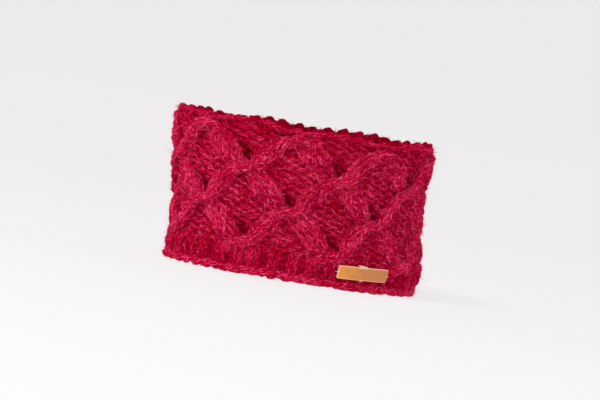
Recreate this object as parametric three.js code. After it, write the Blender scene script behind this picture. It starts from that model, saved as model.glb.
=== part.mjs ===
// A wide knitted headband with a trellis of crossing ropes, a ribbed hem with a rolled
// edge, and a small bare leather label held on the hem by four thread tacks.
//
// Millimetres, +Z up. The wearer faces -Y and the wearer's left is +X. The origin is at
// the middle of the flattened lower edge. Places round the band are given as an arc
// length in mm from the middle of the front, rising towards the wearer's left.

import * as THREE from "three";

// The band's outline at the crests of its ropes, seen from above.
const HALF_WIDTH = 85;
const HALF_DEPTH = 104;

// How the outline changes with height: grow is added all round, and lean moves the
// section towards the front.
const SECTIONS = [
  { height: 0, grow: 0.0, lean: 0.0 },
  { height: 22, grow: 2.8, lean: -2.8 },
  { height: 46, grow: -0.6, lean: 1.4 },
  { height: 70, grow: 2.0, lean: 4.5 },
  { height: 92, grow: 3.1, lean: 5.7 },
  { height: 118, grow: 5.8, lean: 6.5 },
];

// The upper edge stands a little higher at the front and the back than at the sides.
const HEIGHT = 117.2;
const ENDS_RISE = 1.9;

// The trellis: ropes cross in rows, and each row is half a repeat on from the one below.
const REPEATS = 8;
const COLUMNS_PER_REPEAT = 15;
const CROSSING_ARC = 97;
const LOWEST_CROSSING = 24.5;
const CROSSING_ROWS = 4;
const ROW_SPACING = 28;
const STEPS_PER_SPACING = 6;
const ROPE_HALF_WIDTH = 8.5;
const ROPE_RISE = 4.0;
const OVER_RISE = 0.6;
const UNDER_SINK = 1.2;

// How much flatter the ropes run where they cross than halfway between crossings.
const RISING_BEND = 0.34;
const FALLING_BEND = 0.16;

// Depths below the crests of the ropes.
const GROUND_DEPTH = 4.0;
const HEM_DEPTH = 2.4;
const INNER_DEPTH = 8.5;

// The hem's ribs, and the roll of its cast-on edge.
const RIBS_PER_REPEAT = 5;
const RIB_RISE = 1.5;
const HEM_ROWS = [
  { height: 0.0, rise: -2.6, ribs: 0.0, plain: 1 },
  { height: 1.4, rise: 0.6, ribs: 0.2, plain: 1 },
  { height: 3.2, rise: 1.0, ribs: 0.3, plain: 1 },
  { height: 5.4, rise: -0.4, ribs: 0.5, plain: 1 },
  { height: 8.6, rise: 0.2, ribs: 1.0, plain: 1 },
  { height: 12.4, rise: 0.4, ribs: 1.0, plain: 1 },
  { height: 16.4, rise: 0.2, ribs: 1.0, plain: 1 },
  { height: 21.4, rise: -0.4, ribs: 0.5, plain: 0.5 },
];

// The plain border above the trellis, measured up from the highest row of crossings.
// In both tables plain is the share of the row's own depth, the rest being the trellis.
const BORDER_ROWS = [
  { above: 3.0, depth: 2.8, plain: 0.5 },
  { above: 6.0, depth: 2.6, plain: 0.85 },
  { above: 8.0, depth: 3.5, plain: 1 },
  { above: 8.7, depth: 4.9, plain: 1 },
];
const INNER_HEIGHTS = [114.6, 76.0, 38.0, 3.0];
const INNER_LAND = 7.6;
const TOP_WAVE = 1.1;

// The label lies over the ribs, on a stretch of hem that it presses flat.
const LABEL_START = 140.4;
const LABEL_LENGTH = 47.6;
const LABEL_HEIGHT = 10.5;
const LABEL_MIDDLE = 14.75;
const LABEL_SLOPE = 0.027;
const LABEL_THICKNESS = 1.5;
const LABEL_CORNER = 1.2;
const LABEL_COLUMNS = 14;
const SEAT_DEPTH = 2.6;
const SEAT_MARGIN = 2.6;
const SEAT_LOW = 5.0;
const SEAT_HIGH = 22.0;
const GAP = 0.3;

// A tack is a short hook of thread, from the label's face over its edge into the knit.
const TACK_WIDTH = 1.1;
const TACK_THICKNESS = 0.8;
const TACK_REACH = 2.0;
const TACKS = [
  { name: "label_tack_left", share: 0, side: "left" },
  { name: "label_tack_right", share: 1, side: "right" },
  { name: "label_tack_top", share: 0.53, side: "top" },
  { name: "label_tack_bottom", share: 0.5, side: "bottom" },
];

const CRIMSON = new THREE.Color(0xa8153a);
const LEATHER_TAN = new THREE.Color(0xcd8451);
const THREAD_CREAM = new THREE.Color(0xd9b98c);

const outline = new THREE.EllipseCurve(
  0, 0, HALF_WIDTH, HALF_DEPTH, -Math.PI / 2, 1.5 * Math.PI
);
outline.arcLengthDivisions = 1440;
const PERIMETER = outline.getLength();
const REPEAT_LENGTH = PERIMETER / REPEATS;
const HIGHEST_CROSSING = LOWEST_CROSSING + (CROSSING_ROWS - 1) * ROW_SPACING;

// The place on the oval outline at an arc length, with its outward and forward directions.
function outlineFrame(arc) {
  const share = THREE.MathUtils.euclideanModulo(arc / PERIMETER, 1);
  const point = outline.getPointAt(share);
  const along = outline.getTangentAt(share);
  return { point, along, outward: new THREE.Vector2(along.y, -along.x) };
}

// A column of the section table, read between its rows.
function sectionValue(height, column) {
  let above = SECTIONS.findIndex((row) => row.height >= height);
  if (above < 0) above = SECTIONS.length - 1;
  if (above === 0) return SECTIONS[0][column];
  const low = SECTIONS[above - 1];
  const high = SECTIONS[above];
  const share = (height - low.height) / (high.height - low.height);
  return THREE.MathUtils.lerp(low[column], high[column], share);
}

// A point of the band: an arc length round it, a height, and a depth below the crests.
function bandPoint(arc, height, depth) {
  const { point, outward } = outlineFrame(arc);
  const out = sectionValue(height, "grow") - depth;
  return new THREE.Vector3(
    point.x + outward.x * out,
    point.y + outward.y * out - sectionValue(height, "lean"),
    height
  );
}

// How far a value is from the nearest even number, from -1 to 1.
function fromEven(value) {
  return THREE.MathUtils.euclideanModulo(value + 1, 2) - 1;
}

// How far round a rope has gone, in half repeats, after climbing some rows of crossings.
function ropeRun(rows, bend) {
  return rows + (bend * Math.sin(2 * Math.PI * rows)) / (2 * Math.PI);
}

// The rounded section of a rope, from 1 at its crest to 0 at its sides.
function ropeSection(distance) {
  const share = Math.min(Math.abs(distance) / ROPE_HALF_WIDTH, 1);
  return Math.pow(1 - share * share, 0.65);
}

// The depth of the trellis: rising ropes pass over falling ones where they cross.
function trellisDepth(arc, height) {
  const halfRepeats = (2 * (arc - CROSSING_ARC)) / REPEAT_LENGTH;
  const rows = (height - LOWEST_CROSSING) / ROW_SPACING - 1;
  const slope = Math.atan2(ROW_SPACING, REPEAT_LENGTH / 2);
  const unit = ROW_SPACING * Math.cos(slope);
  const rising = fromEven(halfRepeats - ropeRun(rows, RISING_BEND));
  const falling = fromEven(halfRepeats + ropeRun(rows, FALLING_BEND));
  const atCrossing = Math.cos((Math.PI / 2) * Math.min(Math.hypot(rising, falling) * 1.6, 1));
  const over = (ROPE_RISE + OVER_RISE * atCrossing) * ropeSection(rising * unit);
  const under = (ROPE_RISE - UNDER_SINK * atCrossing) * ropeSection(falling * unit);
  return GROUND_DEPTH - Math.max(over, under);
}

// How much of a rib's rise stands at an arc length, from -0.5 between ribs to 1 on one.
function ribWave(arc) {
  const ribs = (RIBS_PER_REPEAT * (arc - CROSSING_ARC)) / REPEAT_LENGTH;
  return Math.cos(2 * Math.PI * ribs);
}

// Whether a place on the hem is pressed flat under the label.
function underLabel(arc, height) {
  const past = THREE.MathUtils.euclideanModulo(arc - LABEL_START + SEAT_MARGIN, PERIMETER);
  return past <= LABEL_LENGTH + 2 * SEAT_MARGIN && height >= SEAT_LOW && height <= SEAT_HIGH;
}

// The depth of the hem at one row of its table.
function hemDepth(arc, row) {
  if (underLabel(arc, row.height)) return SEAT_DEPTH;
  const ribbed = HEM_DEPTH - row.rise - RIB_RISE * row.ribs * ribWave(arc);
  return THREE.MathUtils.lerp(trellisDepth(arc, row.height), ribbed, row.plain);
}

// How far a place near the top is lifted: the front and the back stand higher, and the
// edge dips where the ropes of the highest row cross.
function topLift(arc, height) {
  const { point } = outlineFrame(arc);
  const share = THREE.MathUtils.smoothstep(height, LOWEST_CROSSING, HEIGHT);
  const highestRow = fromEven((2 * (arc - CROSSING_ARC)) / REPEAT_LENGTH - CROSSING_ROWS + 2);
  const wave = -TOP_WAVE * Math.cos(Math.PI * highestRow);
  return share * (wave + ENDS_RISE * (point.y / HALF_DEPTH) ** 2);
}

// One closed loop of points up the outer side of the band, over its top and down inside.
function bandSection(arc) {
  const section = HEM_ROWS.map((row) => bandPoint(arc, row.height, hemDepth(arc, row)));
  const steps = (CROSSING_ROWS - 1) * STEPS_PER_SPACING;
  for (let step = 0; step <= steps; step += 1) {
    const height = LOWEST_CROSSING + (step * ROW_SPACING) / STEPS_PER_SPACING;
    section.push(bandPoint(arc, height, trellisDepth(arc, height)));
  }
  for (const row of BORDER_ROWS) {
    const height = HIGHEST_CROSSING + row.above;
    const depth = THREE.MathUtils.lerp(trellisDepth(arc, height), row.depth, row.plain);
    section.push(bandPoint(arc, height, depth));
  }
  section.push(bandPoint(arc, HIGHEST_CROSSING + BORDER_ROWS.at(-1).above, INNER_LAND));
  for (const height of INNER_HEIGHTS) {
    section.push(bandPoint(arc, height, INNER_DEPTH));
  }
  section.push(bandPoint(arc, 0, INNER_LAND));
  for (const point of section) {
    point.z += topLift(arc, point.z);
  }
  return section;
}

// A closed skin over rings of points that follow each other round a loop.
function skinOverRings(rings) {
  const count = rings[0].length;
  const points = rings.flat();
  const index = [];
  rings.forEach((ring, i) => {
    const next = (i + 1) % rings.length;
    for (let j = 0; j < count; j += 1) {
      const up = (j + 1) % count;
      const [a, b] = [i * count + j, next * count + j];
      const [c, d] = [next * count + up, i * count + up];
      if (points[a].distanceTo(points[c]) <= points[b].distanceTo(points[d])) {
        index.push(a, b, c, a, c, d);
      } else {
        index.push(a, b, d, b, c, d);
      }
    }
  });
  return indexedGeometry(points, index);
}

// A geometry of the points with the faces that the index lists.
function indexedGeometry(points, index) {
  const positions = points.flatMap((point) => point.toArray());
  const geometry = new THREE.BufferGeometry();
  geometry.setAttribute("position", new THREE.Float32BufferAttribute(positions, 3));
  geometry.setIndex(index);
  geometry.computeVertexNormals();
  return geometry;
}

// The whole knitted band: sections at even steps round the outline.
function knitBand() {
  const columns = REPEATS * COLUMNS_PER_REPEAT;
  const sections = [];
  for (let column = 0; column < columns; column += 1) {
    sections.push(bandSection(CROSSING_ARC + (column * PERIMETER) / columns));
  }
  return skinOverRings(sections);
}

// How far the label's upper and lower edges draw in at a distance along it.
function cornerInset(distance) {
  const fromEnd = Math.min(distance, LABEL_LENGTH - distance, LABEL_CORNER);
  const across = LABEL_CORNER - fromEnd;
  return LABEL_CORNER - Math.sqrt(LABEL_CORNER * LABEL_CORNER - across * across);
}

// The height of the label's middle line, which rises a little along it.
function labelMiddle(distance) {
  return LABEL_MIDDLE + LABEL_SLOPE * (distance - LABEL_LENGTH / 2);
}

// Distances along the label: close together at its round corners, then even.
function labelStations() {
  const corner = [0, 0.35, 1].map((share) => share * LABEL_CORNER);
  const plain = LABEL_LENGTH - 2 * LABEL_CORNER;
  const middle = [];
  for (let step = 1; step < LABEL_COLUMNS; step += 1) {
    middle.push(LABEL_CORNER + (step * plain) / LABEL_COLUMNS);
  }
  return [...corner, ...middle, ...corner.map((value) => LABEL_LENGTH - value).reverse()];
}

// The leather label: a plate of even thickness that follows the hem.
function leatherLabel() {
  const back = SEAT_DEPTH - GAP;
  const front = back - LABEL_THICKNESS;
  const sections = labelStations().map((distance) => {
    const arc = LABEL_START + distance;
    const half = LABEL_HEIGHT / 2 - cornerInset(distance);
    const middle = labelMiddle(distance);
    return [
      bandPoint(arc, middle - half, back),
      bandPoint(arc, middle - half, front),
      bandPoint(arc, middle + half, front),
      bandPoint(arc, middle + half, back),
    ];
  });
  return plateOverSections(sections);
}

// A closed skin over four-cornered sections in a row, with both ends capped.
function plateOverSections(sections) {
  const index = [];
  for (let i = 0; i + 1 < sections.length; i += 1) {
    for (let j = 0; j < 4; j += 1) {
      const up = (j + 1) % 4;
      const [a, b] = [4 * i + j, 4 * (i + 1) + j];
      const [c, d] = [4 * (i + 1) + up, 4 * i + up];
      index.push(a, b, c, a, c, d);
    }
  }
  const last = 4 * (sections.length - 1);
  index.push(0, 1, 2, 0, 2, 3);
  index.push(last, last + 2, last + 1, last, last + 3, last + 2);
  return indexedGeometry(sections.flat(), index);
}

// The side view of a tack: x runs outward from the label's edge, y away from the knit.
function tackOutline() {
  const face = GAP + LABEL_THICKNESS + GAP;
  const crest = face + TACK_THICKNESS;
  const bevel = TACK_THICKNESS / 2;
  const leg = GAP + TACK_THICKNESS;
  const shape = new THREE.Shape();
  shape.moveTo(-TACK_REACH, face);
  shape.lineTo(GAP, face);
  shape.lineTo(GAP, GAP);
  shape.lineTo(leg, GAP);
  shape.lineTo(leg, crest - bevel);
  shape.lineTo(leg - bevel, crest);
  shape.lineTo(bevel - TACK_REACH, crest);
  shape.closePath();
  return shape;
}

// One thread tack, placed in its own frame at the label's edge.
function threadTack(tack) {
  const geometry = new THREE.ExtrudeGeometry(tackOutline(), {
    depth: TACK_WIDTH,
    bevelEnabled: false,
  });
  geometry.translate(0, 0, -TACK_WIDTH / 2);

  const distance = tack.share * LABEL_LENGTH;
  const arc = LABEL_START + distance;
  const { along, outward } = outlineFrame(arc);
  const forward = new THREE.Vector3(along.x, along.y, 0);
  const up = new THREE.Vector3(0, 0, 1);
  const directions = { left: forward.clone().negate(), right: forward, top: up };
  directions.bottom = up.clone().negate();
  const rises = { left: 0, right: 0, top: LABEL_HEIGHT / 2, bottom: -LABEL_HEIGHT / 2 };

  const away = directions[tack.side];
  const off = new THREE.Vector3(outward.x, outward.y, 0);
  const across = new THREE.Vector3().crossVectors(away, off);
  const mesh = new THREE.Mesh(geometry, clothMaterial(THREAD_CREAM));
  mesh.name = tack.name;
  mesh.setRotationFromMatrix(new THREE.Matrix4().makeBasis(away, off, across));
  const height = labelMiddle(distance) + rises[tack.side];
  mesh.position.copy(bandPoint(arc, height, SEAT_DEPTH));
  return mesh;
}

function clothMaterial(color) {
  return new THREE.MeshStandardMaterial({ color, roughness: 0.95, metalness: 0 });
}

function namedMesh(name, geometry, material) {
  const mesh = new THREE.Mesh(geometry, material);
  mesh.name = name;
  return mesh;
}

const headband = new THREE.Group();
headband.add(namedMesh("knit_band", knitBand(), clothMaterial(CRIMSON)));
headband.add(
  namedMesh(
    "leather_label",
    leatherLabel(),
    new THREE.MeshStandardMaterial({ color: LEATHER_TAN, roughness: 0.6, metalness: 0 })
  )
);
for (const tack of TACKS) {
  headband.add(threadTack(tack));
}

// The origin goes to the middle of the band's box, on the flattened lower edge.
const bounds = new THREE.Box3().setFromObject(headband, true);
const middle = bounds.getCenter(new THREE.Vector3());
headband.position.set(-middle.x, -middle.y, -bounds.min.z);
headband.updateMatrixWorld(true);

export default headband;
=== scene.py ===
"""Dresses the knit headband: every stitch as yarn, its fuzz, its label, and a plain studio.

Everything is in metres, +Z up. The wearer faces -Y and the wearer's left is +X. A place on
the band is an arc length from the middle of the front, a height, and a depth below the
crests of the ropes.
"""

import logging
import math
from dataclasses import dataclass, field
from enum import Enum
from functools import cached_property

import bpy
import numpy as np
from mathutils import Matrix, Vector


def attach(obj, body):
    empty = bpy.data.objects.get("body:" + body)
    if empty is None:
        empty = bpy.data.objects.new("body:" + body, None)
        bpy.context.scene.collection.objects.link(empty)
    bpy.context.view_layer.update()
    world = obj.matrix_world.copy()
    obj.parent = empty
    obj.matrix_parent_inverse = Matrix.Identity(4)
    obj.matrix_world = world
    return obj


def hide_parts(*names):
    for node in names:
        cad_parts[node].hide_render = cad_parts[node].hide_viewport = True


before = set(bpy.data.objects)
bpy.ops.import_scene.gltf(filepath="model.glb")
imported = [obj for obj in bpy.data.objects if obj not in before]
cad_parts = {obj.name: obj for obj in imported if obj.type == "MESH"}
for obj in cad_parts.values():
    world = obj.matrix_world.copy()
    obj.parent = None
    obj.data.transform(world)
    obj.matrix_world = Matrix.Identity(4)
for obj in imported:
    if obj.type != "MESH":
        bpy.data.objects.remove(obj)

LOG = logging.getLogger("headband")
MM = 0.001
TURN = 2 * math.pi

Array = np.ndarray
Colour = tuple[float, float, float]
Piece = bpy.types.Object
Socket = bpy.types.NodeSocket


class Lean(Enum):
    """Which way a rope climbs as it goes round towards the wearer's left."""

    RISING = 1
    FALLING = -1


class Side(Enum):
    """The edge of the label that a thread tack goes over."""

    LEFT = "left"
    RIGHT = "right"
    TOP = "top"
    BOTTOM = "bottom"


@dataclass(frozen=True)
class Section:
    """How the outline stands at one height: grown all round, and leaned forward."""

    height: float
    grow: float
    lean: float


@dataclass(frozen=True)
class Wobble:
    """A smooth unevenness: which of many patterns it is, and its usual size."""

    seed: int
    size: float
    waves: tuple[int, ...] = (5, 11, 19, 31, 47)
    steepest: float = 3.0
    usual_sum: float = 1.6


@dataclass(frozen=True)
class BandShape:
    """The headband's outline and the trellis of ropes on it.

    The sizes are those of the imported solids, so that the yarn lies where they are.
    """

    half_width: float = 85 * MM
    half_depth: float = 104 * MM
    middle_y: float = 2.579 * MM
    height: float = 117.2 * MM
    ends_rise: float = 1.9 * MM
    top_wave: float = 1.1 * MM
    outline_steps: int = 4096
    repeats: int = 8
    crossing_arc: float = 97 * MM
    lowest_crossing: float = 24.5 * MM
    row_spacing: float = 28 * MM
    crossing_rows: int = 4
    cell_bend: float = 0.25
    rope_half_width: float = 8.5 * MM
    pocket_above: float = 8.8 * MM
    pocket_width: float = 4.0 * MM
    pocket_height: float = 7.6 * MM
    pocket_slant: float = 0.45
    sections: tuple[Section, ...] = (
        Section(0, 0, 0),
        Section(22 * MM, 2.8 * MM, -2.8 * MM),
        Section(46 * MM, -0.6 * MM, 1.4 * MM),
        Section(70 * MM, 2.0 * MM, 4.5 * MM),
        Section(92 * MM, 3.1 * MM, 5.7 * MM),
        Section(118 * MM, 5.8 * MM, 6.5 * MM),
    )

    @cached_property
    def turns(self) -> tuple[Array, Array]:
        """Measures along the oval.

        Returns:
            Angles at even steps, and the arc length at each.
        """
        angle = np.linspace(0, TURN, self.outline_steps + 1)
        x, y = self.half_width * np.sin(angle), -self.half_depth * np.cos(angle)
        steps = np.hypot(np.diff(x), np.diff(y))
        return angle, np.concatenate([[0], np.cumsum(steps)])

    @property
    def perimeter(self) -> float:
        """The length round the crests of the ropes."""
        return float(self.turns[1][-1])

    @property
    def repeat_length(self) -> float:
        """The length round the band from one crossing to the next in its row."""
        return self.perimeter / self.repeats

    def trellis(self, arc: Array, height: Array) -> tuple[Array, Array]:
        """Half repeats round from the first crossing, and rows of crossings up from it."""
        rows = (height - self.lowest_crossing) / self.row_spacing - 1
        return 2 * (arc - self.crossing_arc) / self.repeat_length, rows

    def oval(self, arc: Array) -> tuple[Array, Array]:
        """Finds places on the oval outline.

        Args:
            arc: Arc lengths from the middle of the front.

        Returns:
            The points and the outward directions in plan, each with two columns.
        """
        angle, length = self.turns
        at = np.interp(np.mod(arc, self.perimeter), length, angle)
        point = np.stack([self.half_width * np.sin(at), -self.half_depth * np.cos(at)], -1)
        out = np.stack([self.half_depth * np.sin(at), -self.half_width * np.cos(at)], -1)
        return point, unit(out)

    def place(self, arc: Array, height: Array, depth: Array) -> Array:
        """Turns places on the band into points in the frame.

        The upper part rises at both ends of the band, and dips over each top crossing.

        Args:
            arc: Arc lengths.
            height: Plain heights above the lower edge.
            depth: Depths below the crests of the ropes.

        Returns:
            The points, with three columns.
        """
        heights = [row.height for row in self.sections]
        grow = np.interp(height, heights, [row.grow for row in self.sections])
        lean = np.interp(height, heights, [row.lean for row in self.sections])
        point, out = self.oval(arc)
        plan = point + out * (grow - depth)[..., None]
        low = self.lowest_crossing
        share = np.clip((height - low) / (self.height - low), 0, 1)
        share = share * share * (3 - 2 * share)
        half_repeats, _ = self.trellis(arc, height)
        wave = -self.top_wave * np.cos(math.pi * (half_repeats - self.crossing_rows + 2))
        lift = share * (wave + self.ends_rise * (point[..., 1] / self.half_depth) ** 2)
        return np.stack([plan[..., 0], plan[..., 1] - lean + self.middle_y, height + lift], -1)

    def rope_run(self, rows: Array, bend: float, waist: float = 0.0) -> Array:
        """Half repeats that a rope goes round as it climbs, flatter and waisted at crossings."""
        turn = TURN * rows
        return rows + (bend * np.sin(turn) + waist * np.sin(2 * turn) / 2) / TURN

    def pocket(self, arc: Array, height: Array) -> tuple[Array, Array, Array]:
        """Finds the hole that the ropes pull open above their nearest crossing.

        Args:
            arc: Arc lengths.
            height: Heights.

        Returns:
            Distances round and up from the hole's middle, and a nearness from 0 to 1.
        """
        half_repeats, rows = self.trellis(arc, height - self.pocket_above)
        row = np.clip(np.round(rows), -1, self.crossing_rows - 3)
        off = half_repeats - row
        upward = (rows - row) * self.row_spacing
        around = (off - 2 * np.round(off / 2)) * self.repeat_length / 2
        around = around + self.pocket_slant * upward
        near = np.exp(-((around / self.pocket_width) ** 2) - (upward / self.pocket_height) ** 2)
        return around, upward, near

    def cells(self, arc: Array, height: Array) -> tuple[Array, Array]:
        """Where places lie in the diamonds between the ropes.

        Args:
            arc: Arc lengths.
            height: Heights.

        Returns:
            Two shares from 0 to 1: across from a rising rope, and from a falling one.
        """
        half_repeats, rows = self.trellis(arc, height)
        run = self.rope_run(rows, self.cell_bend)
        return np.mod((half_repeats - run) / 2, 1), np.mod((half_repeats + run) / 2, 1)

    def wobble(self, arc: Array, height: Array, kind: Wobble) -> Array:
        """Works out an unevenness that closes on itself round the band.

        Args:
            arc: Arc lengths.
            height: Heights.
            kind: Its pattern and size.

        Returns:
            The unevenness at each place.
        """
        random = np.random.default_rng(kind.seed)
        total = np.zeros(np.broadcast(arc, height).shape)
        for waves in kind.waves:
            around = waves * TURN * arc / self.perimeter
            upward = random.uniform(-1, 1) * waves * TURN * height / self.perimeter
            total += np.sin(around + upward * kind.steepest + random.uniform(0, TURN))
        return total * kind.size / kind.usual_sum


@dataclass
class Strands:
    """Yarn centrelines of one length, on the band, one strand in each row.

    The shade is how much deeper than it lies the yarn takes its colour from, which paints shade on it.
    """

    arc: Array
    height: Array
    depth: Array
    radius: Array
    closed: bool = False
    shade: float | Array = 0.0


@dataclass
class SpunYarn:
    """Strands in the frame, one in each row, with the directions across them, and the depth that their
    painted shade is read from.
    """

    points: Array
    along: Array
    across: Array
    second: Array
    out: Array
    radius: Array
    depth: Array

    def listed(self) -> list[Array]:
        """Each field in turn, as a plain list over all the strands."""
        return [part.reshape(-1, *part.shape[2:]) for part in vars(self).values()]


def unit(vectors: Array) -> Array:
    """Vectors cut to a length of one."""
    return vectors / np.maximum(np.linalg.norm(vectors, axis=-1, keepdims=True), 1e-12)


def square_to(line: Array, vectors: Array) -> Array:
    """The parts of some vectors that are square to a line, cut to a length of one."""
    return unit(vectors - np.sum(vectors * line, -1, keepdims=True) * line)


def grid_faces(columns: int, rows: int, join_columns: bool = False, join_rows: bool = False) -> Array:
    """Lays four-sided faces over points that are numbered up each column in turn.

    Args:
        columns: How many columns of points there are.
        rows: How many points there are in each.
        join_columns: Whether the last column joins the first.
        join_rows: Whether each column closes on itself.

    Returns:
        The corners of each face.
    """
    across = np.arange(columns if join_columns else columns - 1)
    up = np.arange(rows if join_rows else rows - 1)
    i, j = (part.ravel() for part in np.meshgrid(across, up, indexing="ij"))
    after, above = (i + 1) % columns, (j + 1) % rows
    corners = ((i, j), (after, j), (after, above), (i, above))
    return np.stack([column * rows + row for column, row in corners], -1)


def add_map(mesh: bpy.types.Mesh, name: str, uv: Array) -> None:
    """Gives a mesh a map, with coordinates for each corner of each face."""
    layer = mesh.uv_layers.new(name=name)
    layer.data.foreach_set("uv", uv.astype(np.float32).ravel())


def quad_object(
    name: str, verts: Array, quads: Array, uv: Array | None = None, depth: Array | None = None
) -> Piece:
    """Makes a smooth object from four-sided faces.

    Args:
        name: The piece's name.
        verts: Points, with three columns.
        quads: Corners of each face, with four columns.
        uv: Map coordinates for each corner of each face.
        depth: How deep in the fabric each point lies, with any painted shade offset; the materials read
            it to paint shade.

    Returns:
        The new object.
    """
    mesh = bpy.data.meshes.new(name)
    mesh.vertices.add(len(verts))
    mesh.vertices.foreach_set("co", verts.astype(np.float32).ravel())
    mesh.loops.add(quads.size)
    mesh.loops.foreach_set("vertex_index", quads.astype(np.int32).ravel())
    mesh.polygons.add(len(quads))
    mesh.polygons.foreach_set("loop_start", np.arange(0, quads.size, 4, dtype=np.int32))
    mesh.polygons.foreach_set("use_smooth", np.ones(len(quads), dtype=bool))
    mesh.update(calc_edges=True)
    if uv is not None:
        add_map(mesh, "yarn_map", uv)
    if depth is not None:
        # Painted shade: each point's depth, which the materials read to darken its colour.
        shade_depth = mesh.attributes.new("shade_depth", "FLOAT", "POINT")
        shade_depth.data.foreach_set("value", depth.astype(np.float32).ravel())
    made = bpy.data.objects.new(name, mesh)
    bpy.context.scene.collection.objects.link(made)
    return made


@dataclass(frozen=True)
class Spinner:
    """Gives strands their thickness, as round tubes that are mapped along the yarn."""

    shape: BandShape
    sides: int = 7
    ply: float = 0.11
    ply_turns: float = 1.1
    lumps: float = 0.12
    lump_seed: int = 11
    map_gap: float = 7.3
    smoothing: float = 1.9

    @property
    def turn(self) -> Array:
        """The angle of each side."""
        return np.arange(self.sides) * TURN / self.sides

    def spin(self, strands: Strands) -> SpunYarn:
        """Carries a pair of cross directions along each strand without twist.

        Args:
            strands: The centrelines.

        Returns:
            The strands in the frame.
        """
        points = self.shape.place(strands.arc, strands.height, strands.depth)
        if strands.closed:
            along = unit(np.roll(points, -1, axis=1) - np.roll(points, 1, axis=1))
        else:
            along = unit(np.gradient(points, axis=1))
        _, out = self.shape.oval(strands.arc)
        out = np.concatenate([out, np.zeros_like(out[..., :1])], -1)
        across = np.zeros_like(points)
        carried = unit(np.cross(along[:, 0], out[:, 0]))
        for i in range(points.shape[1]):
            carried = square_to(along[:, i], carried)
            across[:, i] = carried
        if strands.closed:
            across = self.untwist(across, along)
        second = np.cross(along, across)
        # The strands' shade offset adds painted shade by reading their colour deeper.
        shade_depth = strands.depth + strands.shade
        return SpunYarn(points, along, across, second, out, strands.radius, shade_depth)

    def untwist(self, across: Array, along: Array) -> Array:
        """Spreads the mismatch at the join of closed strands evenly along them.

        Args:
            across: The carried directions.
            along: The directions along the strands.

        Returns:
            Directions that meet where the strand closes.
        """
        first, line = across[:, 0], along[:, 0]
        carried = square_to(line, across[:, -1])
        sine = np.sum(np.cross(carried, first) * line, -1)
        miss = np.arctan2(sine, np.sum(carried * first, -1))
        turn = miss[:, None] * np.arange(across.shape[1]) / across.shape[1]
        cosine, sine = np.cos(turn)[..., None], np.sin(turn)[..., None]
        return across * cosine + np.cross(along, across) * sine

    def tubes(self, name: str, groups: list[Strands]) -> tuple[Piece, list[SpunYarn]]:
        """Makes one object of all the strands.

        Args:
            name: The piece's name.
            groups: Sets of strands, each of one length.

        Returns:
            The object and the strands in the frame.
        """
        spun = [self.spin(group) for group in groups]
        skins = [self.skin(yarn, group.closed) for yarn, group in zip(spun, groups)]
        verts, quads, maps, depths = zip(*skins)
        starts = np.cumsum([0] + [len(part) for part in verts[:-1]])
        quads = [part + start for part, start in zip(quads, starts)]
        joined = (np.concatenate(parts) for parts in (verts, quads, maps, depths))
        return quad_object(name, *joined), spun

    def skin(self, yarn: SpunYarn, closed: bool) -> tuple[Array, Array, Array, Array]:
        """Builds the tube round each strand.

        Args:
            yarn: The strands in the frame.
            closed: Whether each strand joins its own start.

        Returns:
            The points, the faces, their map, and how deep each point lies, which sets its painted shade.
        """
        strands, count = yarn.points.shape[:2]
        cosine, sine = np.cos(self.turn)[:, None], np.sin(self.turn)[:, None]
        ring = yarn.across[:, :, None] * cosine + yarn.second[:, :, None] * sine
        gaps = np.linalg.norm(np.diff(yarn.points, axis=1, append=yarn.points[:, :1]), axis=-1)
        girth = TURN * float(np.mean(yarn.radius))
        length = np.concatenate([np.zeros((strands, 1)), np.cumsum(gaps, axis=1)], 1) / girth
        verts = yarn.points[:, :, None] + ring * self.thickness(yarn, length)[..., None]
        verts[..., 2] = np.maximum(verts[..., 2], 0)
        faces = grid_faces(count, self.sides, closed, True)
        first = np.arange(strands)[:, None, None] * count * self.sides
        steps = len(faces) // self.sides
        u = (length + np.arange(strands)[:, None] * self.map_gap)[..., None]
        v = np.arange(self.sides + 1) / self.sides
        low_u, high_u, low_v, high_v = u[:, :steps], u[:, 1 : steps + 1], v[:-1], v[1:]
        corners = np.broadcast_arrays(low_u, low_v, high_u, low_v, high_u, high_v, low_u, high_v)
        uv = np.stack(corners, -1).reshape(-1, 2)
        # Points on a strand's inner side lie deeper, so they get more painted shade.
        outward = np.sum(ring * yarn.out[:, :, None], -1) * yarn.radius[..., None]
        shade_depth = (yarn.depth[..., None] - outward).ravel()
        return verts.reshape(-1, 3), (first + faces).reshape(-1, 4), uv, shade_depth

    def thickness(self, yarn: SpunYarn, length: Array) -> Array:
        """Works out how thick the yarn is each way, with its plies and its unevenness.

        Args:
            yarn: The strands in the frame.
            length: Distances along them, in girths.

        Returns:
            A radius for each strand, point and side.
        """
        wound = 2 * (self.turn - TURN * self.ply_turns * length[:, :-1, None] / 2)
        lump = np.random.default_rng(self.lump_seed).normal(0, 1, wound.shape)
        for axis in (1, 1, 2):
            lump = (np.roll(lump, 1, axis) + lump + np.roll(lump, -1, axis)) / self.smoothing
        return yarn.radius[..., None] * (1 + self.ply * np.cos(wound) + self.lumps * lump)


@dataclass(frozen=True)
class Loop:
    """The path of yarn through one stitch."""

    width: float
    reach: float
    swing: float
    bulge: float
    tilt: float = 0.0

    def offsets(self, turn: Array) -> tuple[Array, Array, Array]:
        """Follows the yarn through stitches that lie side by side.

        Args:
            turn: Angles, one turn to a stitch, with each head at a whole turn.

        Returns:
            Distances across the stitches, up them, and forward for the legs.
        """
        across = turn * self.width / TURN + self.swing * self.width * np.sin(2 * turn)
        up = self.reach * np.cos(turn) - self.tilt * np.sin(2 * turn)
        return across, up, -self.bulge * np.cos(2 * turn)


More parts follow.
